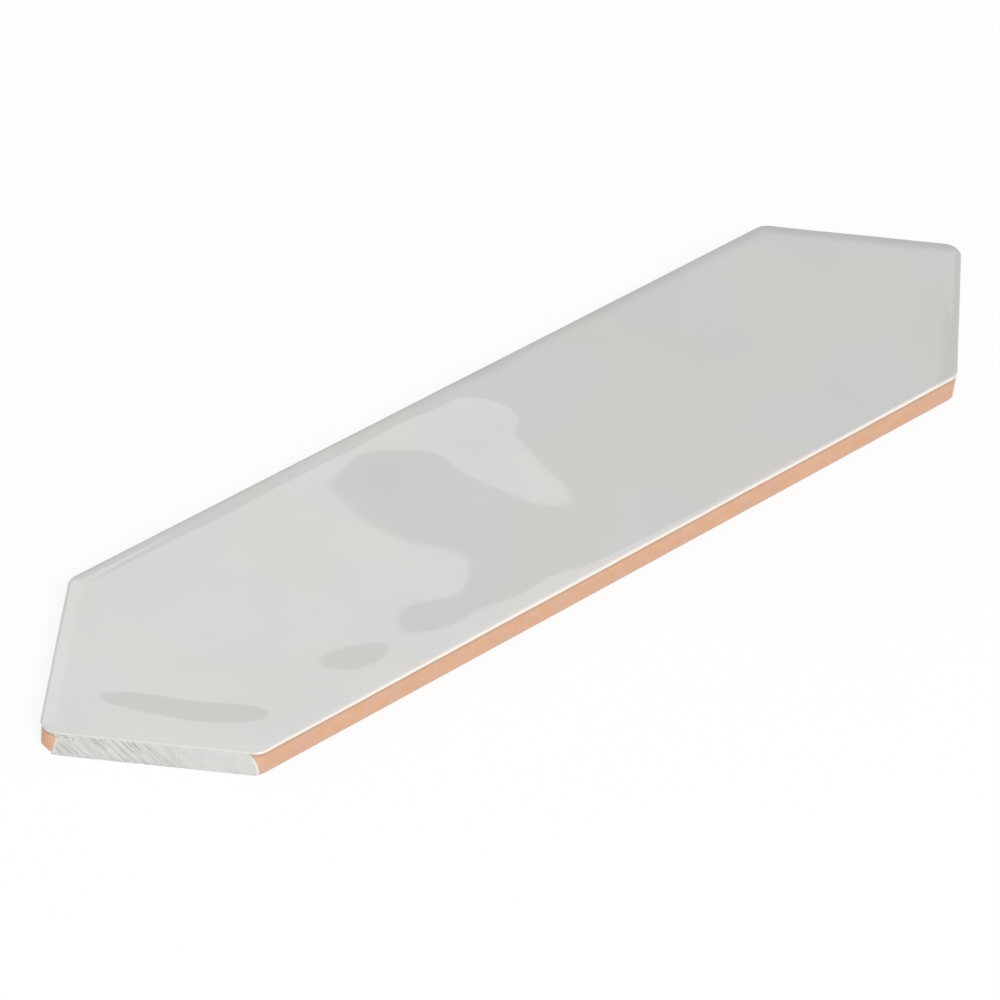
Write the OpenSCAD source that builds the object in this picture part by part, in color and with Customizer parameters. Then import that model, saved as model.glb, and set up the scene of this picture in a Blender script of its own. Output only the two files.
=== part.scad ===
// Picket tile: a long hexagon of fired clay, glazed on its face and on its four short end walls.
// X runs along the tile and Z up. The back lies on z = 0, with the origin at its middle.

/* [Tile] */
// Overall length, over the two rounded tips
tile_l = 300; // [200:1:450]
// Overall width, over the glazed lips of the long edges
tile_w = 75; // [50:0.5:120]
// Overall thickness, from the back to the top of the glaze
tile_t = 8.5; // [6:0.1:14]
// Angle between the two end walls of a tip
tip_angle = 90; // [70:1:120]
// Radius of the six corners in plan, at the glazed lip
corner_r = 4.5; // [2.5:0.1:12]

/* [Clay body] */
// Chamfer around the back
foot_chamfer = 0.3; // [0.2:0.05:1.5]

/* [Glaze of the face] */
// Thickness over the flat of the face
face_glaze_t = 0.5; // [0.3:0.05:1]
// How far the glaze hangs down over the clay wall, from the top of the face
lip_depth = 1.2; // [1:0.05:2.5]
// How far the lip stands out from the clay wall
lip_overhang = 0.35; // [0.25:0.05:0.6]
// Radius of the lip, from the face down to its vertical front
lip_r = 0.8; // [0.4:0.05:0.95]

/* [Glaze of the end walls] */
// Thickness on an end wall
end_glaze_t = 0.3; // [0.15:0.05:0.35]
// Bare clay between a tip's rounding and the glaze
tip_gap = 0.2; // [0.1:0.1:3]
// Bare clay between a shoulder's rounding and the glaze, just under the lip
shoulder_gap = 1.5; // [0.5:0.1:3]

/* [Hidden] */
$fn = 64;

body_t = tile_t - face_glaze_t;
body_corner_r = corner_r - lip_overhang;
lip_bottom = tile_t - lip_depth;

// The centres of the corner roundings
tip_x = tile_l / 2 - corner_r;
shoulder_y = tile_w / 2 - corner_r;
shoulder_x = tip_x - shoulder_y / tan(tip_angle / 2);
centres = [
    [tip_x, 0],
    [shoulder_x, shoulder_y],
    [-shoulder_x, shoulder_y],
    [-tip_x, 0],
    [-shoulder_x, -shoulder_y],
    [shoulder_x, -shoulder_y],
];
end_wall_l = norm(centres[1] - centres[0]);

// A slab with the tile's outline. Its child is the section of a corner, turned about its centre.
module slab() {
    hull()
        for (centre = centres)
            translate(centre)
                rotate_extrude()
                    children();
}

module clay_section() {
    polygon([
        [0, 0],
        [body_corner_r - foot_chamfer, 0],
        [body_corner_r, foot_chamfer],
        [body_corner_r, body_t],
        [0, body_t],
    ]);
}

module face_section() {
    lip_x = corner_r - lip_r;
    lip_z = tile_t - lip_r;
    translate([0, lip_bottom])
        square([lip_x, lip_depth]);
    translate([lip_x, lip_bottom])
        square([lip_r, lip_z - lip_bottom]);
    intersection() {
        translate([lip_x, lip_z])
            circle(r = lip_r);
        translate([lip_x, lip_z])
            square(lip_r);
    }
}

// The outline of an end wall's glaze, which runs up into the lip. Its shoulder side is an arc
// that leans back towards the lip.
module end_glaze_outline() {
    height = tile_t - lip_r - foot_chamfer;
    lean_r = (height * height + shoulder_gap * shoulder_gap) / (2 * shoulder_gap);
    translate([tip_gap, foot_chamfer])
        square([end_wall_l - shoulder_gap - tip_gap, height]);
    intersection() {
        translate([end_wall_l - shoulder_gap, foot_chamfer])
            square([shoulder_gap, height]);
        translate([end_wall_l - lean_r, foot_chamfer])
            circle(r = lean_r);
    }
}

// The glaze of the end wall that runs from the +X tip to the +Y shoulder
module end_glaze() {
    translate([tip_x, 0, 0])
        rotate([0, 0, 90 - tip_angle / 2])
            translate([body_corner_r, 0, 0])
                rotate([90, 0, 90])
                    linear_extrude(height = end_glaze_t)
                        end_glaze_outline();
}

module clay_body() {
    color([0.80, 0.60, 0.47])
        slab()
            clay_section();
}

module glaze() {
    color([0.84, 0.84, 0.82]) {
        difference() {
            slab()
                face_section();
            slab()
                clay_section();
        }
        for (x = [0, 1], y = [0, 1])
            mirror([x, 0, 0])
                mirror([0, y, 0])
                    end_glaze();
    }
}

clay_body();
glaze();
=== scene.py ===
"""A picket tile: a long hexagon of fired clay under a softly waved gloss glaze, in a pale studio."""
import math

import bpy
from bpy.props import FloatProperty, FloatVectorProperty, IntProperty, PointerProperty
from bpy.types import Operator, Panel, PropertyGroup
from mathutils import Matrix, Vector, geometry, noise


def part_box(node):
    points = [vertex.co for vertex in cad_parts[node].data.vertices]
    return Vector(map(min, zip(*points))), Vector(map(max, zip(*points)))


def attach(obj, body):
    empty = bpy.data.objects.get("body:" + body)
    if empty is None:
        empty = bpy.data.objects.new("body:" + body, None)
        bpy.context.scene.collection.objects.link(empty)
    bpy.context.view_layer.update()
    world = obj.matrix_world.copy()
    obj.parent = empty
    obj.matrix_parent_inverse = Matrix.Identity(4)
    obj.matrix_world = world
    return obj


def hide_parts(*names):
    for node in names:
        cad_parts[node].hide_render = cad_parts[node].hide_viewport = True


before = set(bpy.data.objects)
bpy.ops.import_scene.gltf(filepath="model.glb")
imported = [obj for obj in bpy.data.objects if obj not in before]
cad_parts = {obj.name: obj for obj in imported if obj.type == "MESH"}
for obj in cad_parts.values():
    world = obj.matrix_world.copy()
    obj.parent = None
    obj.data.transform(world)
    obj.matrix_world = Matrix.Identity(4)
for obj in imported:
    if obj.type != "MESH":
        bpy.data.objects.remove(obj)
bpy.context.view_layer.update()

bl_info = {
    "name": "Picket Tile",
    "version": (1, 0, 0),
    "blender": (4, 5, 0),
    "location": "3D View > Sidebar > Picket Tile",
    "description": "Dresses a picket tile in fired clay and waved gloss glaze, and sets its studio",
    "category": "Object",
}

MM = 0.001
BODY = "root"
GLAZE_LOW, GLAZE_HIGH = (Vector(corner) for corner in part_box("glaze"))
CLAY_HIGH = Vector(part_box("clay_body")[1])


# Sizes and colours that a user would change

class TileSizes(PropertyGroup):
    """Sizes of the tile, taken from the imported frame"""
    length: FloatProperty(
        name="Length", description="Over the two rounded tips",
        default=GLAZE_HIGH.x - GLAZE_LOW.x, unit="LENGTH", precision=5)
    width: FloatProperty(
        name="Width", description="Over the glazed lips of the long edges",
        default=GLAZE_HIGH.y - GLAZE_LOW.y, unit="LENGTH", precision=5)
    tip_angle: FloatProperty(
        name="Tip angle", description="Between the two end walls of a tip",
        default=math.radians(90), subtype="ANGLE")
    corner_radius: FloatProperty(
        name="Corner radius", description="Rounding of the six corners in plan, at the lip",
        default=4.5 * MM, unit="LENGTH", precision=5)
    clay_inset: FloatProperty(
        name="Clay inset", description="How far the clay wall stands back under the lip",
        default=GLAZE_HIGH.x - CLAY_HIGH.x, unit="LENGTH", precision=5)
    foot_chamfer: FloatProperty(
        name="Foot chamfer", description="Chamfer around the back",
        default=0.3 * MM, unit="LENGTH", precision=5)
    clay_top: FloatProperty(
        name="Clay top", description="Height of the clay under the glaze",
        default=7.85 * MM, unit="LENGTH", precision=5)
    end_glaze: FloatProperty(
        name="End glaze", description="Thickness of the glaze on an end wall",
        default=0.24 * MM, unit="LENGTH", precision=5)


class TileFinish(PropertyGroup):
    """Colours and surface of the clay and the glaze"""
    glaze_colour: FloatVectorProperty(
        name="Glaze", description="Colour of the glaze on the face",
        default=(0.58, 0.58, 0.565), subtype="COLOR", min=0, max=1)
    # The lip colour is the thin glaze's warm tone, made brighter to serve also as a painted
    # highlight
    lip_cream_and_highlight: FloatVectorProperty(
        name="Lip", description="Colour of the glaze where it thins over the edge",
        default=(0.86, 0.79, 0.70), subtype="COLOR", min=0, max=1)
    streak_colour: FloatVectorProperty(
        name="Streaks", description="Colour of the dry streaks on an end wall",
        default=(0.40, 0.39, 0.365), subtype="COLOR", min=0, max=1)
    clay_colour: FloatVectorProperty(
        name="Clay", description="Main colour of the bare clay",
        default=(0.648, 0.38, 0.236), subtype="COLOR", min=0, max=1)
    clay_pink: FloatVectorProperty(
        name="Pink clay", description="Colour of the paler, pinkish patches in the clay",
        default=(0.645, 0.398, 0.288), subtype="COLOR", min=0, max=1)
    glaze_roughness: FloatProperty(
        name="Glaze roughness", description="Roughness of the gloss glaze",
        default=0.03, min=0, max=1)
    waves: FloatProperty(
        name="Waves", description="Share of the full height of the waves in the glaze",
        default=1.0, min=0, max=1, subtype="FACTOR")
    seed: IntProperty(
        name="Seed", description="Changes the streaks and the grain",
        default=7, min=0)


class Studio(PropertyGroup):
    """Floor, light and camera"""
    floor_colour: FloatVectorProperty(
        name="Floor", description="Colour of the floor",
        default=(0.97, 0.97, 0.97), subtype="COLOR", min=0, max=1)
    room_light: FloatProperty(
        name="Room light", description="Strength of the even white light from all around",
        default=0.51, min=0)
    front_light: FloatProperty(
        name="Front light", description="Power of the soft lamp in front",
        default=52.0, min=0, unit="POWER")
    left_light: FloatProperty(
        name="Left light", description="Power of the soft lamp on the left",
        default=12.0, min=0, unit="POWER")
    window_light: FloatProperty(
        name="Window light", description="Power of the wide lamp that the glaze mirrors",
        default=55.0, min=0, unit="POWER")
    lens: FloatProperty(
        name="Lens", description="Focal length of the camera for a sensor 36 mm wide",
        default=199.53, min=1)


# Nodes written as expressions

class Wire:
    """A node's output that can be used in Python expressions."""

    def __init__(self, board, socket):
        self.board = board
        self.socket = socket

    def __add__(self, other):
        return self.board.math("ADD", self, other)

    def __sub__(self, other):
        return self.board.math("SUBTRACT", self, other)

    def __rsub__(self, other):
        return self.board.math("SUBTRACT", other, self)

    def __mul__(self, other):
        return self.board.math("MULTIPLY", self, other)

    def __truediv__(self, other):
        return self.board.math("DIVIDE", self, other)

    def __pow__(self, other):
        return self.board.math("POWER", self, other)


class Board:
    """Adds nodes to one tree."""

    def __init__(self, tree):
        self.tree = tree

    def add(self, kind, settings=None, values=None):
        """One node: its type, its settings, then the values or links of its sockets."""
        node = self.tree.nodes.new(kind)
        for name, value in (settings or {}).items():
            setattr(node, name, value)
        for name, value in (values or {}).items():
            self.feed(self.find(node.inputs, name), value)
        return node

    def find(self, sockets, name):
        """A socket by its identifier, or else by its name."""
        for socket in sockets:
            if socket.identifier == name:
                return socket
        return sockets[name]

    def feed(self, socket, value):
        """Links a wire to a socket, or sets the socket's value."""
        if isinstance(value, Wire):
            self.tree.links.new(value.socket, socket)
        else:
            socket.default_value = value

    def out(self, node, name):
        return Wire(self, self.find(node.outputs, name))

    def math(self, operation, first, second=0.0):
        settings = {"operation": operation}
        values = {"Value": first, "Value_001": second}
        return self.out(self.add("ShaderNodeMath", settings, values), "Value")

    def vector(self, operation, first, second=(0.0, 0.0, 0.0)):
        settings = {"operation": operation}
        values = {"Vector": first, "Vector_001": second}
        return self.out(self.add("ShaderNodeVectorMath", settings, values), "Vector")

    def stretched(self, vector, scale):
        return self.vector("MULTIPLY", vector, scale)

    def scaled(self, vector, factor):
        values = {"Vector": vector, "Scale": factor}
        return self.out(self.add("ShaderNodeVectorMath", {"operation": "SCALE"}, values), "Vector")

    def joined(self, x=0.0, y=0.0, z=0.0):
        """A vector from its three parts."""
        values = {"X": x, "Y": y, "Z": z}
        return self.out(self.add("ShaderNodeCombineXYZ", None, values), "Vector")

    def place(self):
        """The place on the object, in metres."""
        return self.out(self.add("ShaderNodeTexCoord"), "Object")

    def kept(self, name):
        """A value that the mesh keeps at its points."""
        return self.out(self.add("ShaderNodeAttribute", {"attribute_name": name}), "Fac")

    def blend(self, share, first, second):
        """A colour between two."""
        settings = {"data_type": "RGBA", "clamp_factor": True}
        values = {"Factor_Float": share, "A_Color": opaque(first), "B_Color": opaque(second)}
        return self.out(self.add("ShaderNodeMix", settings, values), "Result_Color")

    def ease(self, value, low, high):
        """0 below low, 1 above high, and a smooth step between them."""
        settings = {"interpolation_type": "SMOOTHSTEP"}
        values = {"Value": value, "From Min": low, "From Max": high}
        return self.out(self.add("ShaderNodeMapRange", settings, values), "Result")

    def noise(self, vector, scale, detail=2.0, roughness=0.5, seed=0.0):
        """Even noise around 0.5."""
        settings = {"noise_dimensions": "4D"}
        values = {
            "Vector": vector, "W": seed, "Scale": scale, "Detail": detail, "Roughness": roughness}
        node = self.add("ShaderNodeTexNoise", settings, values)
        for output in ("Fac", "Factor"):
            if output in node.outputs:
                return self.out(node, output)
        raise RuntimeError("the noise node has no factor")


def tinted(colour, red, green, blue):
    """A colour with its three parts multiplied."""
    return Vector((colour.x * red, colour.y * green, colour.z * blue))


def opaque(colour):
    """A colour with alpha, for a colour socket."""
    if isinstance(colour, Wire):
        return colour
    return (*colour, 1.0)


def new_material(name):
    """A material with an empty tree, its board and its output."""
    material = bpy.data.materials.new(name)
    material.use_nodes = True
    material.node_tree.nodes.clear()
    board = Board(material.node_tree)
    output = board.add("ShaderNodeOutputMaterial")
    return material, board, output


# Materials

GLAZE_IOR = 1.7
CLAY_IOR = 1.4
CLAY_ROUGHNESS = 0.88
PIT_COLOUR = (0.26, 0.14, 0.10)
# Painted highlight along the raised rim of the end-wall glaze
PAINTED_RIM_HIGHLIGHT = (0.84, 0.80, 0.73)
SAND_COLOUR = (0.82, 0.66, 0.52)
GRAIN_DEPTH = 0.06 * MM
# Heights at which the painted bounce light at the clay's foot and the painted shadow under the lip
# start and are full
PAINTED_FOOT_LIGHT = (1.9 * MM, 0.4 * MM)
PAINTED_LIP_SHADOW = (5.9 * MM, 6.5 * MM)


def glaze_material(finish):
    """Gloss glaze with soft clouds of tone, and a cream lip that is partly the glaze thinning over
    the edge and partly a painted highlight.
    """
    material, board, output = new_material("glaze")
    place = board.place()
    lip = board.kept("lip")
    colour = Vector(finish.glaze_colour)
    clouds = board.noise(place, scale=45, detail=2, roughness=0.5, seed=finish.seed)
    warm = board.noise(place, scale=30, detail=1, roughness=0.5, seed=finish.seed + 3)
    specks = board.noise(place, scale=1600, detail=2, roughness=0.6, seed=finish.seed + 5)
    base = board.blend(board.ease(clouds, 0.3, 0.7), colour * 0.978, colour * 1.018)
    warmed = tinted(colour, 1.02, 1, 0.975)
    base = board.blend(board.ease(warm, 0.4, 0.75) * 0.8, base, warmed)
    base = board.blend(board.ease(specks, 0.62, 0.78) * 0.12, base, colour * 0.9)
    # The lip's cream: the thin glaze's own tone together with a painted highlight on the lip's front
    base = board.blend(lip, base, finish.lip_cream_and_highlight)
    shader = board.add("ShaderNodeBsdfPrincipled", None, {
        "Base Color": base,
        "Roughness": finish.glaze_roughness,
        "IOR": GLAZE_IOR,
    })
    board.feed(output.inputs["Surface"], board.out(shader, "BSDF"))
    return material


def end_glaze_material(finish):
    """The thin glaze of an end wall, with dry streaks, pits and a rim lit by a painted highlight."""
    material, board, output = new_material("end_glaze")
    place = board.place()
    streak = board.kept("streak")
    pit = board.kept("pit")
    rim = board.kept("rim")
    colour = Vector(finish.glaze_colour)
    clouds = board.noise(place, scale=220, detail=3, roughness=0.6, seed=finish.seed + 11)
    fine = board.noise(place, scale=2200, detail=3, roughness=0.6, seed=finish.seed + 13)
    base = board.blend(board.ease(clouds, 0.3, 0.7), colour * 0.98, colour * 1.055)
    base = board.blend(streak, base, finish.streak_colour)
    base = board.blend(board.ease(fine, 0.5, 0.75) * 0.25, base, colour * 0.85)
    base = board.blend(pit, base, PIT_COLOUR)
    # The rim's pale colour is a painted highlight
    base = board.blend(rim * 0.6, base, PAINTED_RIM_HIGHLIGHT)
    shader = board.add("ShaderNodeBsdfPrincipled", None, {
        "Base Color": base,
        "Roughness": board.ease(fine, 0.2, 0.9) * 0.15 + streak * 0.2 + 0.12,
        "IOR": GLAZE_IOR,
    })
    board.feed(output.inputs["Surface"], board.out(shader, "BSDF"))
    return material


def clay_material(finish):
    """Matt sandy terracotta with soft pink and orange patches and a fine grain."""
    material, board, output = new_material("clay")
    place = board.place()
    height = board.out(board.add("ShaderNodeSeparateXYZ", None, {"Vector": place}), "Z")
    patches = board.noise(place, scale=210, detail=5, roughness=0.65, seed=finish.seed + 17)
    level = board.stretched(place, (0.35, 0.35, 1.0))
    streaky = board.noise(level, scale=420, detail=3, roughness=0.6, seed=finish.seed + 19)
    grain = board.noise(place, scale=2600, detail=3, roughness=0.7, seed=finish.seed + 23)
    sand = board.noise(place, scale=5200, detail=2, roughness=0.6, seed=finish.seed + 29)
    colour = Vector(finish.clay_colour)
    base = board.blend(board.ease(patches, 0.4, 0.6), colour, finish.clay_pink)
    base = board.blend(board.ease(streaky, 0.45, 0.7) * 0.6, base, colour * 1.1)
    # Painted light: the wall turns paler and greyer towards its foot, standing in for light bounced
    # up from the floor
    pale = tinted(colour, 0.97, 1.1, 1.32)
    base = board.blend(board.ease(height, *PAINTED_FOOT_LIGHT) * 0.8, base, pale)
    # Painted shadow: a darker, greyer band on the clay just under the lip's overhang
    lip_shadow_colour = tinted(colour, 0.74, 0.88, 1.1)
    base = board.blend(board.ease(height, *PAINTED_LIP_SHADOW) * 0.95, base, lip_shadow_colour)
    base = board.blend(board.ease(grain, 0.54, 0.7) * 0.45, base, colour * 0.76)
    base = board.blend(board.ease(sand, 0.64, 0.78) * 0.4, base, SAND_COLOUR)
    relief = grain * 0.7 + sand * 0.3
    bump = board.add("ShaderNodeBump", None, {
        "Strength": 0.35, "Distance": GRAIN_DEPTH, "Height": relief})
    shader = board.add("ShaderNodeBsdfPrincipled", None, {
        "Base Color": base,
        "Roughness": CLAY_ROUGHNESS,
        "IOR": CLAY_IOR,
        "Normal": board.out(bump, "Normal"),
    })
    board.feed(output.inputs["Surface"], board.out(shader, "BSDF"))
    return material


# The tile's plan

SEED_APART = 7.31
CLAY_SHARP = math.radians(35)
GLAZE_SHARP = math.radians(55)


class Outline:
    """The hexagon of the corner centres, and the walk around it."""

    def __init__(self, sizes):
        tip_x = sizes.length / 2 - sizes.corner_radius
        shoulder_y = sizes.width / 2 - sizes.corner_radius
        shoulder_x = tip_x - shoulder_y / math.tan(sizes.tip_angle / 2)
        self.radius = sizes.corner_radius
        self.centres = [
            Vector((tip_x, 0)), Vector((shoulder_x, shoulder_y)),
            Vector((-shoulder_x, shoulder_y)), Vector((-tip_x, 0)),
            Vector((-shoulder_x, -shoulder_y)), Vector((shoulder_x, -shoulder_y))]
        self.sides = []
        for index, start in enumerate(self.centres):
            end = self.centres[(index + 1) % 6]
            along = (end - start).normalized()
            self.sides.append((start, end, Vector((along.y, -along.x))))

    def walk(self, step, turn):
        """Points around the hexagon of centres, each with its outward direction."""
        stops = []
        for index, (start, end, outward) in enumerate(self.sides):
            before = self.sides[index - 1][2]
            first = math.atan2(before.y, before.x)
            sweep = (math.atan2(outward.y, outward.x) - first) % math.tau
            count = max(2, round(sweep / turn))
            for k in range(count + 1):
                angle = first + sweep * k / count
                stops.append((start, Vector((math.cos(angle), math.sin(angle)))))
            count = max(2, round((end - start).length / step))
            for k in range(1, count):
                stops.append((start.lerp(end, k / count), outward))
        return stops

    def inset(self, point):
        """How far a point lies in from the rounded outline."""
        beyond = max((point - start).dot(outward) for start, end, outward in self.sides)
        if beyond <= 0:
            return self.radius - beyond
        return self.radius - min(gap(point, start, end) for start, end, outward in self.sides)


def gap(point, start, end):
    """Distance from a point to the line between two others."""
    foot, share = geometry.intersect_point_line(point, start, end)
    if 0 < share < 1:
        return (point - foot.to_2d()).length
    return min((point - start).length, (point - end).length)


def ring(stops, radius, inset, height):
    """One turn around the tile. The inset and the height may vary from stop to stop."""
    points = []
    for index, (centre, outward) in enumerate(stops):
        d = inset[index] if isinstance(inset, list) else inset
        z = height[index] if isinstance(height, list) else height
        place = centre + outward * (radius - d)
        points.append(Vector((place.x, place.y, z)))
    return points


def skin(rings):
    """The vertices and the faces of rings that follow each other."""
    count = len(rings[0])
    points = [point for turn in rings for point in turn]
    faces = []
    for level in range(len(rings) - 1):
        low = level * count
        high = low + count
        for k in range(count):
            after = (k + 1) % count
            faces.append((low + k, low + after, high + after, high + k))
    return points, faces


def wander(place, size, seed):
    """Smooth noise from -1 to 1 that changes over about the given size."""
    return noise.noise(Vector((place.x / size, place.y / size, seed * SEED_APART)))


def clamped(value):
    """A value held between 0 and 1."""
    return min(1.0, max(0.0, value))


def finished(name, points, faces, material, cad_node, sharp):
    """A piece of the tile that rides on its body and stands for a node. Its edges stay sharp
    over an angle."""
    mesh = bpy.data.meshes.new(name)
    mesh.from_pydata([tuple(point) for point in points], [], faces)
    mesh.validate()
    mesh.shade_smooth()
    mesh.set_sharp_from_angle(angle=sharp)
    mesh.materials.append(material)
    piece = bpy.data.objects.new(name, mesh)
    bpy.context.scene.collection.objects.link(piece)
    declare(piece, cad_node)
    return piece


def declare(piece, cad_node):
    """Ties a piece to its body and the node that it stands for."""
    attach(piece, BODY)
    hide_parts(cad_node)


# Clay body

CLAY_STEP = 0.7 * MM
CLAY_TURN = math.radians(5)
WALL_STEP = 0.36 * MM
WALL_UNEVEN = 0.06 * MM
WALL_PATCH = 6 * MM
WALL_PATCH_HEIGHT = 3 * MM
TIP_WEAR = 0.9 * MM
FOOT_BEND = 0.4


def worn_foot(sizes, outward):
    """Height of the foot's chamfer, which is larger on the two sharp tips."""
    end_wall = math.cos(math.pi / 4)
    tip = max(0.0, abs(outward.x) - end_wall) / (1 - end_wall)
    return sizes.foot_chamfer + TIP_WEAR * (1 - (1 - tip) ** 2)


def clay_rings(sizes, outline, stops, seed):
    """The chamfered foot and the faintly uneven wall of the clay."""
    radius = outline.radius
    inset = sizes.clay_inset
    feet = [worn_foot(sizes, outward) for centre, outward in stops]
    rings = [ring(stops, radius, [inset + foot for foot in feet], 0.0)]
    rings.append(ring(stops, radius, [inset + foot * FOOT_BEND for foot in feet],
                      [foot * FOOT_BEND for foot in feet]))
    levels = round((sizes.clay_top - sizes.foot_chamfer) / WALL_STEP)
    for level in range(levels + 1):
        heights = []
        insets = []
        for (centre, outward), foot in zip(stops, feet):
            z = foot + (sizes.clay_top - foot) * level / levels
            place = centre + outward * radius
            spot = Vector((place.x / WALL_PATCH, place.y / WALL_PATCH,
                           z / WALL_PATCH_HEIGHT + seed))
            insets.append(inset + WALL_UNEVEN * (0.5 + 0.5 * noise.noise(spot)))
            heights.append(z)
        rings.append(ring(stops, radius, insets, heights))
    return rings


# Waves of the glaze: name, middle in x and y, reach along the fall and across it, the fall's
# bearing in degrees and its slope, which is negative where the glaze rises that way. Sizes are
# in millimetres. Each one bends the mirrored lamp into a form of the light and dark pattern.
SWELLS = (
    ("streak", -125.0, -8.5, 4.8, 10.0, 42, 0.048),
    ("streak end", -113.0, -22.0, 5.2, 9.0, 54, 0.046),
    ("island", -76.0, -26.0, 8.0, 9.4, 75, 0.031),
    ("lobe", -50.5, -27.0, 9.3, 11.0, 60, 0.029),
    ("join", -33.0, -27.0, 10.0, 9.0, 60, 0.027),
    ("root", -23.0, -15.0, 13.0, 13.0, 46, 0.027),
    ("under", -9.0, -1.0, 12.0, 9.0, 48, 0.014),
    ("right", 17.0, 0.0, 10.0, 13.0, 46, 0.026),
    ("beyond", 29.0, 13.0, 10.0, 13.0, 46, 0.009),
    ("foot", 2.0, -23.0, 14.0, 12.0, 46, 0.018),
    ("front", -12.0, -30.0, 8.0, 11.0, 75, 0.010),
    ("heel", 9.0, -12.0, 9.0, 9.0, 46, 0.014),
    ("tip", 0.0, -9.0, 6.0, 6.0, 20, -0.006),
    ("flap", -5.0, 21.0, 13.0, 11.5, 0, -0.030),
    ("corner", 8.0, 28.0, 7.5, 8.5, 20, -0.021),
    ("cut", -37.0, 31.0, 7.0, 6.0, 50, -0.008),
    ("strip", -23.0, 31.5, 6.0, 19.0, 75, -0.015),
    ("above", -46.0, 26.0, 9.0, 13.0, 50, -0.012),
    ("near", -54.0, 13.0, 9.0, 11.0, 30, -0.008),
)
PLATEAU = 8.205 * MM
SHOULDER_X = GLAZE_HIGH.x - GLAZE_HIGH.y
BORDER_WIDTH = 5.0 * MM
FRONT_BORDER_WIDTH = 2.2 * MM
RIGHT_BORDER_WIDTH = 1.2 * MM
FRONT_START = 27 * MM
FRONT_FADE = 7 * MM
SHOULDER_FADE = 5 * MM
RIGHT_FADE = 25 * MM
BORDER_SLOPE = 0.1
FACE_STEP = 0.85 * MM
FACE_TURN = math.radians(5)
LIP_FOOT = 7.3 * MM
LIP_FRONT = 0.32 * MM
LIP_ROUND = 0.75 * MM
LIP_INNER = 0.5 * MM
LIP_WANDER = 0.09 * MM
LIP_PATCH = 5 * MM
EDGE_WANDER = 0.1 * MM
EDGE_PATCH = 14 * MM
EDGE_FADE = 4 * MM
# The lip's underside: insets and heights over its lowest line, in millimetres
UNDERSIDE = ((0.12, 0.0), (0.03, 0.06), (0.0, 0.18))
LIP_TURNS = (15, 30, 45, 60, 75, 90)
FACE_INSETS = (0.95, 1.3, 1.75, 2.3, 2.95, 3.7)
# How strongly the lip's cream and its painted highlight show on its first rings, from the ceiling up
CREAM_AND_HIGHLIGHT = (0, 0.3, 0.4, 0.5, 0.8, 1, 1, 0.95, 0.7, 0.4, 0.18, 0.06)
# On the end walls the lip gets only a trace of the cream and painted highlight
END_CREAM_AND_HIGHLIGHT = 0.08
GRID_CLEAR = 0.6
WELD = 1e-7


def swell_height(place):
    """Height of the waves at a place on the face, in metres."""
    x = place.x / MM
    y = place.y / MM
    rise = 0.0
    for name, middle_x, middle_y, along, across, bearing, fall in SWELLS:
        angle = math.radians(bearing)
        q = (x - middle_x) * math.cos(angle) + (y - middle_y) * math.sin(angle)
        r = (y - middle_y) * math.cos(angle) - (x - middle_x) * math.sin(angle)
        rise -= fall * q * math.exp(-0.5 * ((q / along) ** 2 + (r / across) ** 2))
    return rise * MM


def face_height(place, inset, waves):
    """Height of the glaze at a place on the face."""
    front = clamped((-place.y - FRONT_START) / FRONT_FADE)
    front *= clamped((SHOULDER_X - abs(place.x)) / SHOULDER_FADE)
    right = clamped(place.x / RIGHT_FADE)
    front_width = FRONT_BORDER_WIDTH + (RIGHT_BORDER_WIDTH - FRONT_BORDER_WIDTH) * right
    width = BORDER_WIDTH + (front_width - BORDER_WIDTH) * front
    border = max(0.0, 1 - inset / width)
    drop = BORDER_SLOPE * width / 2 * border ** 2
    return PLATEAU + swell_height(place) * waves - drop


def lip_rings(outline, stops, ceiling, waves, seed):
    """From the ceiling over the clay, under the lip and around it, to the border of the face."""
    radius = outline.radius
    places = [centre + outward * radius for centre, outward in stops]
    sag = [LIP_FOOT + LIP_WANDER * wander(place, LIP_PATCH, seed) for place in places]
    edge = [EDGE_WANDER * (0.5 + 0.5 * wander(place, EDGE_PATCH, seed + 1)) for place in places]

    def turn(inset, lift):
        insets = [inset + shift for shift in edge]
        return ring(stops, radius, insets, [z + lift for z in sag])

    rings = [ring(stops, radius, LIP_INNER, ceiling)]
    rings.append(ring(stops, radius, LIP_INNER, sag))
    for inset, lift in UNDERSIDE:
        rings.append(turn(inset * MM, lift * MM))
    rings.append(turn(0.0, LIP_FRONT))
    front = [z + LIP_FRONT for z in sag]
    for degrees in LIP_TURNS:
        lean = math.radians(degrees)
        rings.append(top_turn(outline, stops, LIP_ROUND * (1 - math.cos(lean)), edge, waves,
                              front, math.sin(lean)))
    for inset in FACE_INSETS:
        rings.append(top_turn(outline, stops, inset * MM, edge, waves))
    return rings


def top_turn(outline, stops, inset, edge, waves, front=None, share=1.0):
    """A ring on the face, or part of the way up from the lip's front to it."""
    points = []
    fade = max(0.0, 1 - inset / EDGE_FADE)
    for index, (centre, outward) in enumerate(stops):
        place = centre + outward * (outline.radius - inset - edge[index] * fade)
        z = face_height(place, inset, waves)
        if front:
            z = front[index] + (z - front[index]) * share
        points.append(Vector((place.x, place.y, z)))
    return points


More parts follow.
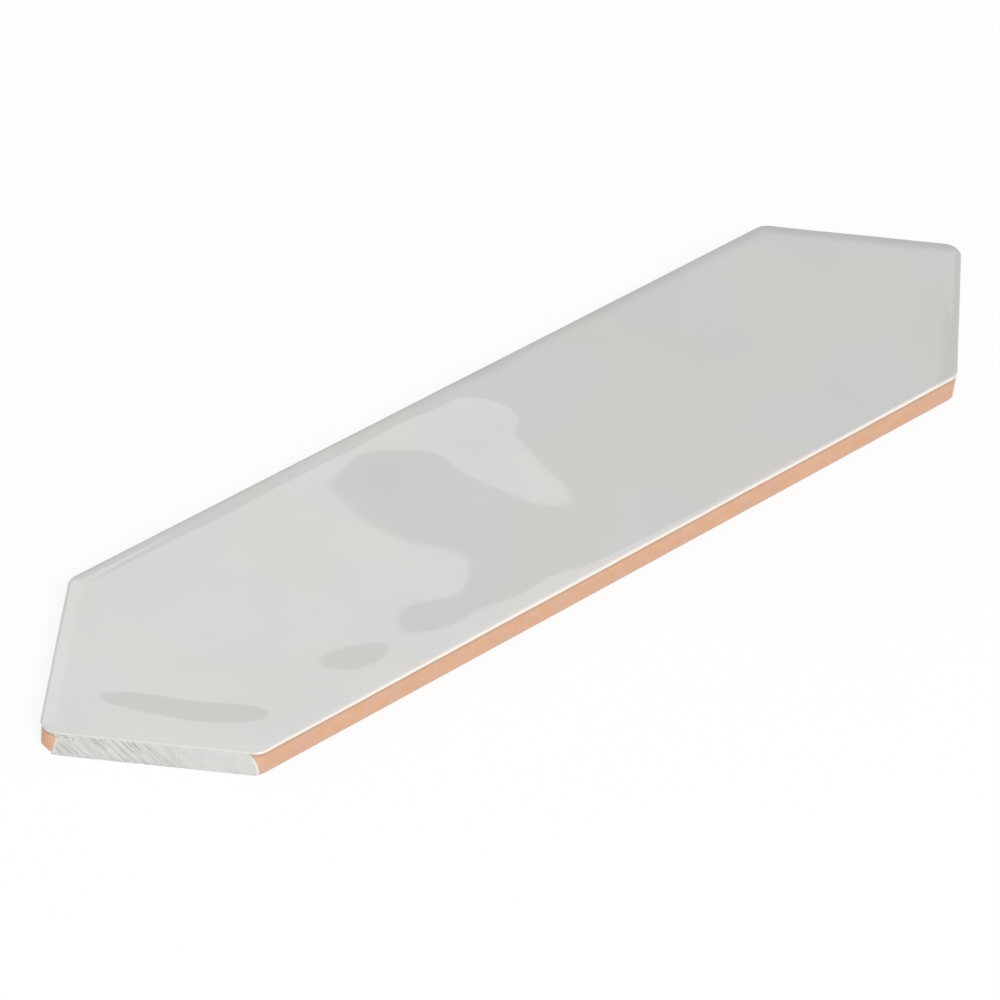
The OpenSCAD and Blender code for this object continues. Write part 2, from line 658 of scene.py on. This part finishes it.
def field(outline, border, step):
    """A triangular grid inside a border: its points and its triangles."""
    flat = [point.to_2d() for point in border]
    count = len(flat)
    half_x = max(point.x for point in flat)
    half_y = max(point.y for point in flat)
    row_step = step * math.sqrt(3) / 2
    rows = math.ceil(half_y / row_step)
    columns = math.ceil(half_x / step)
    keep = outline.inset(flat[0]) + step * GRID_CLEAR
    for row in range(-rows, rows + 1):
        shift = 0.5 * step * (row % 2)
        for column in range(-columns, columns + 1):
            point = Vector((column * step + shift, row * row_step))
            if outline.inset(point) > keep:
                flat.append(point)
    edges = [(k, (k + 1) % count) for k in range(count)]
    found = geometry.delaunay_2d_cdt(flat, edges, [], 1, WELD)
    places, triangles, sources = found[0], found[2], found[3]
    if len(places) != len(flat):
        raise RuntimeError("the grid of the face lost or gained points")
    origin = [source[0] for source in sources]
    ordered = [None] * len(flat)
    for index, place in zip(origin, places):
        ordered[index] = place
    faces = [tuple(origin[k] for k in face) for face in triangles]
    return ordered, [upward(face, ordered) for face in faces]


def upward(face, places):
    """A flat triangle, turned so that it faces up."""
    a, b, c = (places[index] for index in face)
    if (b - a).cross(c - a) > 0:
        return face
    return face[::-1]


# End walls

END_COLUMNS = 300
END_ROWS = 46
END_FOOT = 0.35
END_OVERLAP = 0.3 * MM
END_TIP_GAP = -0.6 * MM
END_SHOULDER_GAP = 1.15 * MM
END_WRAP = 1.7 * MM
STREAK_LEAN = math.radians(-50)
SEED_STEP = 3.17
WELD_DISTANCE = 0.0005 * MM
# Keeps the border a hair inside the crown, so that the front and the back meet there
BORDER_SLACK = 0.003
# In millimetres, from here on
TIP_SPREAD = 0.9
TIP_RAGGED = 1.4
SHOULDER_RAGGED = 0.4
FOOT_RAGGED = 0.5
TIP_CROWN = 0.9
EDGE_CROWN = 0.45
BURIED = 0.08
RIM_RISE = 0.05
UNEVEN_RISE = 0.05
STREAK_DEPTH = 0.03
PIT_DEPTH = 0.09


def end_glaze_tree():
    """Geometry nodes for the glaze of one end wall, as a thin closed skin on the clay."""
    tree = bpy.data.node_groups.new("End Wall Glaze", "GeometryNodeTree")
    sockets = tree.interface
    for name in ("Start", "Along", "Out"):
        sockets.new_socket(name, in_out="INPUT", socket_type="NodeSocketVector")
    for name in ("Length", "Foot", "Top", "Thickness", "Tip gap", "Shoulder gap", "Wrap",
                 "Clay radius", "Seed"):
        sockets.new_socket(name, in_out="INPUT", socket_type="NodeSocketFloat")
    sockets.new_socket("Turned", in_out="INPUT", socket_type="NodeSocketBool")
    sockets.new_socket("Geometry", in_out="OUTPUT", socket_type="NodeSocketGeometry")
    board = Board(tree)
    given = board.add("NodeGroupInput")
    ask = {socket.name: board.out(given, socket.name) for socket in given.outputs if socket.name}

    grid = board.add("GeometryNodeMeshGrid", None, {
        "Size X": 1.0, "Size Y": 1.0, "Vertices X": END_COLUMNS, "Vertices Y": END_ROWS})
    cell = board.add("ShaderNodeSeparateXYZ", None, {
        "Vector": board.out(board.add("GeometryNodeInputPosition"), "Position")})
    u = board.out(cell, "X") + 0.5
    v = board.out(cell, "Y") + 0.5

    def drift(along, across, number):
        """Noise around 0 from two places in millimetres."""
        spot = board.joined(along, across, ask["Seed"] * SEED_STEP + number)
        return board.noise(spot, scale=1.0, seed=number) - 0.5

    rise = v * (ask["Top"] - ask["Foot"]) * 1000
    spread = (1 - v) ** 2.0 * TIP_SPREAD * MM
    left = ask["Tip gap"] - spread + drift(rise * 0.45, 0.0, 1.3) * TIP_RAGGED * MM
    lean = (ask["Shoulder gap"] + ask["Wrap"]) * v ** 2.4
    right = ask["Length"] + ask["Wrap"] - lean
    right = right + drift(rise * 0.5, 3.0, 2.9) * SHOULDER_RAGGED * MM
    x = left + (right - left) * u
    x_mm = x * 1000
    ragged = board.math("MAXIMUM", drift(x_mm * 0.5, 1.0, 4.1) + drift(x_mm * 1.7, 1.0, 5.1), 0.0)
    foot = ask["Foot"] + ragged * FOOT_RAGGED * MM
    z = foot + (ask["Top"] - foot) * v
    z_mm = z * 1000

    lean_x = math.cos(STREAK_LEAN)
    lean_z = math.sin(STREAK_LEAN)
    along = x_mm * lean_x + z_mm * lean_z
    across = z_mm * lean_x - x_mm * lean_z
    share = x / ask["Length"]
    patchy = board.ease(drift(x_mm * 0.2, z_mm * 0.25, 8.3), -0.25, 0.1)
    reach = 1 - board.ease(share, 0.4, 0.75) * 0.85
    lines = board.ease(drift(along * 0.16, across * 2.4, 6.7), -0.05, 0.11)
    streak = lines * (patchy * 0.6 + 0.4) * reach
    upright = board.ease(drift(x_mm * 1.7, z_mm * 0.25, 12.1), 0.0, 0.2)
    streak = streak + upright * board.ease(share, 0.45, 0.62) * 0.15
    nicks = board.ease(drift(x_mm * 1.4, z_mm * 1.4, 13.3), 0.05, 0.14)
    streak = board.math("MINIMUM", streak + nicks * board.ease(z_mm, 1.3, 0.5), 1.0)
    near_tip = board.ease(share, 0.2, 0.05) * board.ease(z_mm, 4.6, 6.2)
    pit = board.ease(drift(x_mm * 1.3, z_mm * 1.9, 9.7) + near_tip * 0.16, 0.24, 0.28)

    from_left = (x - left) * 1000
    from_right = (right - x) * 1000
    from_foot = (z - foot) * 1000
    from_top = (ask["Top"] - z) * 1000
    near = board.math("MINIMUM", from_left / TIP_CROWN, from_right / EDGE_CROWN)
    near = board.math("MINIMUM", near, board.math("MINIMUM", from_foot, from_top) / EDGE_CROWN)
    near = board.math("MAXIMUM", board.math("MINIMUM", near, 1.0) - BORDER_SLACK, 0.0)
    crown = (1 - (1 - near) ** 2.0) ** 0.5
    # The rim: the glaze's raised bead along the lower shoulder and the tip's edge, which the
    # material lightens with a painted highlight
    rim = (1 - board.ease(from_right, 0.3, 1.0)) * board.ease(z_mm, 7.0, 4.5)
    rim = board.math("MAXIMUM", rim, 0.6 - board.ease(from_left, 0.2, 1.0) * 0.6)
    relief = drift(x_mm * 0.3, z_mm * 0.3, 10.1) * UNEVEN_RISE * MM
    thickness = ask["Thickness"] * (board.ease(from_left, -0.5, 2.5) * 0.7 + 0.3)
    proud = thickness + rim * RIM_RISE * MM + relief - streak * STREAK_DEPTH * MM
    proud = proud - pit * PIT_DEPTH * MM
    height = proud * crown - (1 - crown) * BURIED * MM

    marked = board.out(grid, "Mesh")
    for name, value in (("streak", streak), ("pit", pit), ("rim", rim)):
        settings = {"data_type": "FLOAT", "domain": "POINT"}
        node = board.add("GeometryNodeStoreNamedAttribute", settings, {
            "Geometry": marked, "Name": name, "Value": value})
        marked = board.out(node, "Geometry")
    flat = board.math("MINIMUM", board.math("MAXIMUM", x, 0.0), ask["Length"])
    beyond = (x - flat) / ask["Clay radius"]

    def placed(outward):
        """The grid on the wall and round the shoulder, at a height over the clay."""
        reach = ask["Clay radius"] + outward
        forth = flat + reach * board.math("SINE", beyond)
        out = reach * board.math("COSINE", beyond) - ask["Clay radius"]
        spot = board.vector("ADD", ask["Start"], board.scaled(ask["Along"], forth))
        spot = board.vector("ADD", spot, board.scaled(ask["Out"], out))
        spot = board.vector("ADD", spot, board.joined(z=z))
        node = board.add("GeometryNodeSetPosition", None, {"Geometry": marked, "Position": spot})
        return board.out(node, "Geometry")

    return board, ask, placed(height), placed(-BURIED * MM)


def close_end_glaze(board, ask, front, back, material):
    """Joins the front with a back in the clay, turns it outwards and ends the tree."""
    back = board.out(board.add("GeometryNodeFlipFaces", None, {"Mesh": back}), "Mesh")
    join = board.add("GeometryNodeJoinGeometry")
    for part in (front, back):
        board.tree.links.new(part.socket, join.inputs["Geometry"])
    merged = board.add("GeometryNodeMergeByDistance", None, {
        "Geometry": board.out(join, "Geometry"), "Distance": WELD_DISTANCE})
    turned = board.add("GeometryNodeFlipFaces", None, {
        "Mesh": board.out(merged, "Geometry"), "Selection": ask["Turned"]})
    smooth = board.add("GeometryNodeSetShadeSmooth", None, {
        "Geometry": board.out(turned, "Mesh"), "Shade Smooth": True})
    real = board.add("GeometryNodeRealizeInstances", None, {
        "Geometry": board.out(smooth, "Geometry")})
    coated = board.add("GeometryNodeSetMaterial", None, {
        "Geometry": board.out(real, "Geometry"), "Material": material})
    output = board.add("NodeGroupOutput")
    board.tree.links.new(coated.outputs["Geometry"], output.inputs["Geometry"])


def grown(name, tree, values):
    """The plain mesh that a tree makes from named values."""
    holder = bpy.data.objects.new(name, bpy.data.meshes.new(name))
    bpy.context.scene.collection.objects.link(holder)
    modifier = holder.modifiers.new(name, "NODES")
    modifier.node_group = tree
    for item in tree.interface.items_tree:
        if item.in_out == "INPUT" and item.name in values:
            modifier[item.identifier] = values[item.name]
    evaluated = holder.evaluated_get(bpy.context.evaluated_depsgraph_get())
    mesh = bpy.data.meshes.new_from_object(evaluated)
    holder.modifiers.remove(modifier)
    holder.data = mesh
    if not mesh.polygons:
        raise RuntimeError(name + " came out empty")
    return holder


# Operators

class PICKET_OT_clay_body(Operator):
    """Makes the pressed clay body with its foot and its faintly uneven walls"""
    bl_idname = "picket.clay_body"
    bl_label = "Clay Body"

    def execute(self, context):
        sizes = context.scene.picket_sizes
        finish = context.scene.picket_finish
        outline = Outline(sizes)
        stops = outline.walk(CLAY_STEP, CLAY_TURN)
        rings = clay_rings(sizes, outline, stops, finish.seed)
        points, faces = skin(rings)
        count = len(stops)
        faces.append(tuple(reversed(range(count))))
        faces.append(tuple(range(len(points) - count, len(points))))
        finished("clay_body_fired", points, faces, clay_material(finish),
                 "clay_body", CLAY_SHARP)
        return {"FINISHED"}


class PICKET_OT_face_glaze(Operator):
    """Pours the waved glaze over the face and lets it hang over the edges as a lip"""
    bl_idname = "picket.face_glaze"
    bl_label = "Face Glaze"

    def execute(self, context):
        sizes = context.scene.picket_sizes
        finish = context.scene.picket_finish
        outline = Outline(sizes)
        stops = outline.walk(FACE_STEP, FACE_TURN)
        rings = lip_rings(outline, stops, sizes.clay_top, finish.waves, finish.seed)
        points, faces = skin(rings)
        count = len(stops)
        faces.append(tuple(reversed(range(count))))
        first = len(points) - count
        places, triangles = field(outline, rings[-1], FACE_STEP)
        for place in places[count:]:
            z = face_height(place, outline.inset(place), finish.waves)
            points.append(Vector((place.x, place.y, z)))
        faces.extend(tuple(first + k for k in face) for face in triangles)
        piece = finished("glaze_face", points, faces, glaze_material(finish),
                         "glaze", GLAZE_SHARP)
        paint_lip_cream_and_highlight(piece, stops)
        return {"FINISHED"}


def paint_lip_cream_and_highlight(piece, stops):
    """Writes how strongly the lip's cream and its painted highlight show at each point of the face
    glaze.
    It is full on the long edges, where the highlight is painted, and faint on the end walls."""
    lip = piece.data.attributes.new("lip", "FLOAT", "POINT")
    values = [0.0] * len(piece.data.vertices)
    count = len(stops)
    for level, strength in enumerate(CREAM_AND_HIGHLIGHT):
        for k, (centre, outward) in enumerate(stops):
            long_edge = END_CREAM_AND_HIGHLIGHT + (1 - END_CREAM_AND_HIGHLIGHT) * abs(outward.y) ** 6
            values[level * count + k] = strength * long_edge
    lip.data.foreach_set("value", values)


class PICKET_OT_end_glazes(Operator):
    """Brushes a thin streaked glaze on the four end walls"""
    bl_idname = "picket.end_glazes"
    bl_label = "End Wall Glazes"

    def execute(self, context):
        sizes = context.scene.picket_sizes
        finish = context.scene.picket_finish
        material = end_glaze_material(finish)
        board, ask, front, back = end_glaze_tree()
        close_end_glaze(board, ask, front, back, material)
        outline = Outline(sizes)
        walls = ((0, 1), (3, 2), (3, 4), (0, 5))
        for number, (tip, shoulder) in enumerate(walls):
            start = outline.centres[tip]
            end = outline.centres[shoulder]
            along = (end - start).normalized()
            turned = number % 2 == 1
            outward = Vector((along.y, -along.x)) * (-1 if turned else 1)
            base = start + outward * (outline.radius - sizes.clay_inset)
            piece = grown("glaze_end_" + str(number + 1), board.tree, {
                "Start": (base.x, base.y, 0.0),
                "Along": (along.x, along.y, 0.0),
                "Out": (outward.x, outward.y, 0.0),
                "Length": (end - start).length,
                "Foot": sizes.foot_chamfer * END_FOOT,
                "Top": LIP_FOOT + END_OVERLAP,
                "Thickness": sizes.end_glaze,
                "Tip gap": END_TIP_GAP,
                "Shoulder gap": END_SHOULDER_GAP,
                "Wrap": END_WRAP,
                "Clay radius": outline.radius - sizes.clay_inset,
                "Seed": float(finish.seed + number),
                "Turned": turned,
            })
            declare(piece, "glaze")
        return {"FINISHED"}


# Stage

CAMERA_EYE = Vector((-0.713876, -0.739666, 0.937799))
CAMERA_BEARING = math.radians(46.34)
CAMERA_FALL = math.radians(42.42)
CAMERA_ROLL = math.radians(4.95)
WINDOW_HEIGHT = 6.0
WINDOW_BEARING = math.radians(46)
WINDOW_NEAR = 2.6
WINDOW_FAR = 6.524
WINDOW_WIDTH = 5.2
FRONT_BEARING = math.radians(-108)
FRONT_RISE = math.radians(40)
LEFT_BEARING = math.radians(165)
LEFT_RISE = math.radians(30)
LAMP_DISTANCE = 3.0
LAMP_SIZE = 1.5
CARD_DISTANCE = 3.0
FLOOR_HALF = 4.0
FLOOR_DROP = 0.1 * MM
FLOOR_GLOW = 0.86


def area_lamp(name, place, turn, size, size_y, power):
    """A rectangular soft lamp, hidden from the camera."""
    lamp = bpy.data.lights.new(name, "AREA")
    lamp.shape = "RECTANGLE"
    lamp.size = size
    lamp.size_y = size_y
    lamp.energy = power
    holder = bpy.data.objects.new(name, lamp)
    bpy.context.scene.collection.objects.link(holder)
    holder.location = place
    holder.rotation_euler = turn
    holder.visible_camera = False


def soft_lamp(name, bearing, rise, power):
    """A square soft lamp that faces the tile."""
    level = LAMP_DISTANCE * math.cos(rise)
    place = Vector((level * math.cos(bearing), level * math.sin(bearing),
                    LAMP_DISTANCE * math.sin(rise)))
    turn = (-place).to_track_quat("-Z", "Y").to_euler()
    area_lamp(name, place, turn, LAMP_SIZE, LAMP_SIZE, power)


def seen_share(board):
    """1 for what the camera sees, straight or mirrored, and 0 for light on the object."""
    path = board.add("ShaderNodeLightPath")
    direct = board.out(path, "Is Camera Ray")
    mirrored = board.out(path, "Is Glossy Ray")
    through = board.out(path, "Is Transmission Ray")
    return 1 - (1 - direct) * (1 - mirrored) * (1 - through)


def make_world(studio):
    """White where it is seen, and an even soft light on the object."""
    world = bpy.data.worlds.new("studio_air")
    world.use_nodes = True
    world.node_tree.nodes.clear()
    board = Board(world.node_tree)
    level = studio.room_light
    lit = board.add("ShaderNodeBackground", None, {"Color": (1, 1, 1, 1), "Strength": level})
    seen = board.add("ShaderNodeBackground", None, {"Color": (1, 1, 1, 1), "Strength": 1.0})
    mix = board.add("ShaderNodeMixShader", None, {"Fac": seen_share(board)})
    world.node_tree.links.new(lit.outputs[0], mix.inputs[1])
    world.node_tree.links.new(seen.outputs[0], mix.inputs[2])
    output = board.add("ShaderNodeOutputWorld")
    world.node_tree.links.new(mix.outputs[0], output.inputs["Surface"])
    bpy.context.scene.world = world


def make_floor(studio):
    """A pale floor that keeps the tile's shadow."""
    material, board, output = new_material("floor")
    paper = board.add("ShaderNodeBsdfPrincipled", None, {
        "Base Color": opaque(studio.floor_colour), "Roughness": 1.0, "Specular IOR Level": 0.0})
    glow = board.add("ShaderNodeEmission", None, {"Color": (1, 1, 1, 1), "Strength": 1.0})
    mix = board.add("ShaderNodeMixShader", None, {"Fac": seen_share(board) * FLOOR_GLOW})
    board.tree.links.new(paper.outputs[0], mix.inputs[1])
    board.tree.links.new(glow.outputs[0], mix.inputs[2])
    board.tree.links.new(mix.outputs[0], output.inputs["Surface"])
    turns = ((-1, -1), (1, -1), (1, 1), (-1, 1))
    corners = [(x * FLOOR_HALF, y * FLOOR_HALF, -FLOOR_DROP) for x, y in turns]
    mesh = bpy.data.meshes.new("floor")
    mesh.from_pydata(corners, [], [(0, 1, 2, 3)])
    mesh.materials.append(material)
    floor = bpy.data.objects.new("floor", mesh)
    bpy.context.scene.collection.objects.link(floor)


def make_card(name, bearing, width, low_z, high_z, share, levels):
    """An upright card that only mirrors in the glaze. Its glow goes from the first to the second
    level by a share that comes from the card's own sideways and upward places."""
    material, board, output = new_material(name)
    place = board.place()
    turned = board.out(board.add("ShaderNodeVectorRotate", {"rotation_type": "Z_AXIS"}, {
        "Vector": place, "Angle": -bearing}), "Vector")
    parts = board.add("ShaderNodeSeparateXYZ", None, {"Vector": turned})
    amount = share(board, board.out(parts, "Y"), board.out(parts, "Z"))
    glow = board.add("ShaderNodeEmission", None, {
        "Color": board.blend(amount, (levels[0],) * 3, (levels[1],) * 3),
        "Strength": 1.0})
    board.feed(output.inputs["Surface"], board.out(glow, "Emission"))
    ahead = Vector((math.cos(bearing), math.sin(bearing), 0))
    side = Vector((-ahead.y, ahead.x, 0)) * width / 2
    low = ahead * CARD_DISTANCE + Vector((0, 0, low_z))
    high = ahead * CARD_DISTANCE + Vector((0, 0, high_z))
    mesh = bpy.data.meshes.new(name)
    corners = [low - side, low + side, high + side, high - side]
    mesh.from_pydata([tuple(corner) for corner in corners], [], [(0, 1, 2, 3)])
    mesh.materials.append(material)
    card = bpy.data.objects.new(name, mesh)
    bpy.context.scene.collection.objects.link(card)
    card.visible_camera = False
    card.visible_diffuse = False
    card.visible_shadow = False


def make_cards():
    """The darker room beyond the far end and to its right, and a bright wall on the left."""

    def far(board, side, up):
        return (1 - board.ease(up, 1.75, 2.45)) * (1 - board.ease(side, 0.8, 1.6))

    def right(board, side, up):
        return (1 - board.ease(side, 0.82, 1.2)) * (1 - board.ease(up, 3.2, 3.6))

    def left(board, side, up):
        return board.ease(side, -0.9, -0.6)

    make_card("far_card", bearing=math.radians(47), width=7.0, low_z=0.0, high_z=2.45,
              share=far, levels=(1, 0.05))
    make_card("side_card", bearing=math.radians(18.5), width=2.3, low_z=0.0, high_z=3.6,
              share=right, levels=(1, 0.4))
    make_card("left_card", bearing=math.radians(72), width=1.8, low_z=2.5, high_z=3.6,
              share=left, levels=(1.93, 2.3))


def make_lamps(studio):
    """The wide window lamp that the glaze mirrors, and the soft lamps in front and on the left."""
    middle = (WINDOW_NEAR + WINDOW_FAR) / 2
    ahead = Vector((math.cos(WINDOW_BEARING), math.sin(WINDOW_BEARING), 0))
    place = ahead * middle + Vector((0, 0, WINDOW_HEIGHT))
    area_lamp("window", place, (0, 0, WINDOW_BEARING), WINDOW_FAR - WINDOW_NEAR, WINDOW_WIDTH,
              studio.window_light)
    soft_lamp("front", FRONT_BEARING, FRONT_RISE, studio.front_light)
    soft_lamp("left", LEFT_BEARING, LEFT_RISE, studio.left_light)


def make_camera(studio):
    """The photograph's view, long and slightly rolled."""
    forward = Vector((
        math.cos(CAMERA_BEARING) * math.cos(CAMERA_FALL),
        math.sin(CAMERA_BEARING) * math.cos(CAMERA_FALL),
        -math.sin(CAMERA_FALL)))
    level = Vector((math.sin(CAMERA_BEARING), -math.cos(CAMERA_BEARING), 0))
    upright = level.cross(forward)
    right = level * math.cos(CAMERA_ROLL) + upright * math.sin(CAMERA_ROLL)
    up = right.cross(forward)
    lens = bpy.data.cameras.new("camera")
    lens.sensor_width = 36
    lens.lens = studio.lens
    lens.clip_start = 0.01
    camera = bpy.data.objects.new("camera", lens)
    bpy.context.scene.collection.objects.link(camera)
    turn = Matrix((right, up, -forward)).transposed()
    camera.matrix_world = Matrix.Translation(CAMERA_EYE) @ turn.to_4x4()
    bpy.context.scene.camera = camera


class PICKET_OT_stage(Operator):
    """Sets the floor, the light and the camera"""
    bl_idname = "picket.stage"
    bl_label = "Stage"

    def execute(self, context):
        studio = context.scene.picket_studio
        context.scene.view_settings.view_transform = "Standard"
        make_world(studio)
        make_floor(studio)
        make_cards()
        make_lamps(studio)
        make_camera(studio)
        return {"FINISHED"}


class PICKET_PT_panel(Panel):
    """Lists the sizes, the finishes and the steps"""
    bl_idname = "PICKET_PT_panel"
    bl_label = "Picket Tile"
    bl_space_type = "VIEW_3D"
    bl_region_type = "UI"
    bl_category = "Picket Tile"

    def draw(self, context):
        scene = context.scene
        for title, group in (("Sizes", scene.picket_sizes), ("Finish", scene.picket_finish),
                             ("Studio", scene.picket_studio)):
            box = self.layout.box()
            box.label(text=title)
            for name in group.__annotations__:
                box.prop(group, name)
        for step in STEPS:
            self.layout.operator(step.bl_idname)


STEPS = (PICKET_OT_clay_body, PICKET_OT_face_glaze, PICKET_OT_end_glazes, PICKET_OT_stage)
CLASSES = (TileSizes, TileFinish, Studio, *STEPS, PICKET_PT_panel)


def register():
    for cls in CLASSES:
        bpy.utils.register_class(cls)
    bpy.types.Scene.picket_sizes = PointerProperty(type=TileSizes)
    bpy.types.Scene.picket_finish = PointerProperty(type=TileFinish)
    bpy.types.Scene.picket_studio = PointerProperty(type=Studio)


def unregister():
    del bpy.types.Scene.picket_studio
    del bpy.types.Scene.picket_finish
    del bpy.types.Scene.picket_sizes
    for cls in reversed(CLASSES):
        bpy.utils.unregister_class(cls)


def main():
    register()
    bpy.ops.picket.clay_body()
    bpy.ops.picket.face_glaze()
    bpy.ops.picket.end_glazes()
    bpy.ops.picket.stage()
    bpy.context.view_layer.update()


if __name__ == "__main__":
    main()
